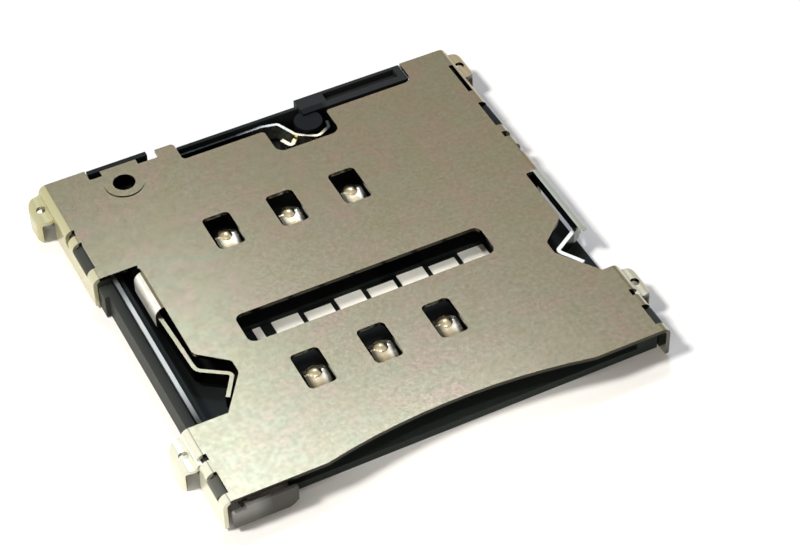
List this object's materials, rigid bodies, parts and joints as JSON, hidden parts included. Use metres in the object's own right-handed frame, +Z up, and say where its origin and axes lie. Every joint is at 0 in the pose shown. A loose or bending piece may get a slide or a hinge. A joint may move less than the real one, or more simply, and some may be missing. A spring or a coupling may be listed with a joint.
{
  "type": "sim card socket",
  "caption": "Flat board-mounted tray socket: folded steel cover over a black moulded base, spring contacts under windows, side detents, detect switch and push rod ejector with lever.",
  "frame": {"origin": "middle of the socket's box, on the circuit board", "axes": "+X across the card to the right as seen from the card mouth, +Y from the mouth to the back, +Z up from the board"},
  "size_m": [0.0182, 0.0172, 0.0014],
  "materials": {
    "base_plastic": "matte black moulded liquid crystal polymer",
    "cover_steel": "satin stamped stainless steel with a warm tone",
    "contact_plating": "thin gold flash over a copper alloy spring",
    "switch_plating": "thin gold flash over a copper alloy spring",
    "ejector_steel": "bright stamped stainless steel"
  },
  "bodies": {
    "socket": {"housing": "base_plastic", "shield_shell": "cover_steel", "contact_c1": "contact_plating", "contact_c2": "contact_plating", "contact_c3": "contact_plating", "contact_c5": "contact_plating", "contact_c6": "contact_plating", "contact_c7": "contact_plating", "detect_leaf": "switch_plating", "detect_terminal": "switch_plating"},
    "rod": {"ejector_rod": "ejector_steel"},
    "lever": {"ejector_lever": "ejector_steel"}
  },
  "joints": [
    {"name": "rod_push", "type": "slide", "parent": "socket", "child": "rod", "axis": [0, 1, 0], "range_m": [0, 0.0009]},
    {"name": "lever_turn", "type": "hinge", "parent": "socket", "child": "lever", "pos_m": [-0.00556, 0.00732, 0.00104], "axis": [0, 0, -1], "range_deg": [0, 24.5]}
  ],
  "couplings": [
    {"joint": "lever_turn", "follows": "rod_push", "rad_per_m": 473.9}
  ]
}
